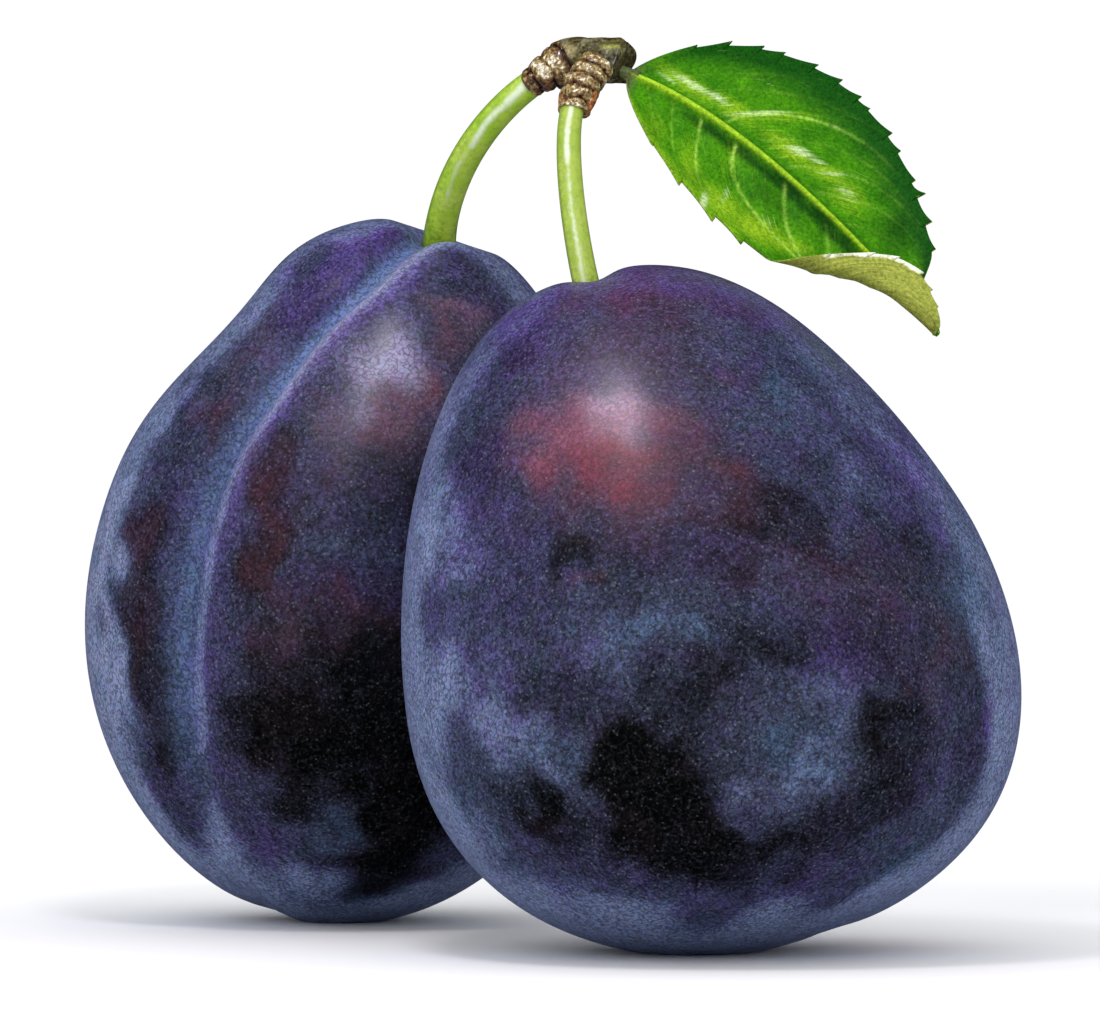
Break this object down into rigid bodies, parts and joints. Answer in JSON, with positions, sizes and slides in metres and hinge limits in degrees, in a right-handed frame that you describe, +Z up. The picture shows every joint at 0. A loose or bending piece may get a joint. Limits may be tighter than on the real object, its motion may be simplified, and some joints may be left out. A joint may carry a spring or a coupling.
{
  "type": "plum",
  "caption": "Ripe oval blue plums standing stalk up, joined by green stalks to a short woody fruiting spur that also bears a toothed leaf with a folded tip.",
  "frame": {"origin": "middle of the whole's footprint, on the surface that both fruits rest on", "axes": "+Z up through the stalk ends; +X from the back fruit's side towards the front fruit's side and the leaf; +Y from the front fruit towards the back one"},
  "size_m": [0.0773, 0.0854, 0.0743],
  "materials": {
    "skin": "dark violet plum skin under a patchy blue-grey wax bloom, satin where it is wiped",
    "stalk": "smooth yellow-green fruit stalk, slightly glossy",
    "bark": "grey-brown bark with pale ring scars, dull",
    "blade": "fresh green leaf, satin above, paler and dull below"
  },
  "bodies": {
    "root": {"plum_front": "skin", "plum_back": "skin", "stalk_front": "stalk", "stalk_back": "stalk", "spur": "bark", "leaf": "blade"}
  },
  "joints": []
}
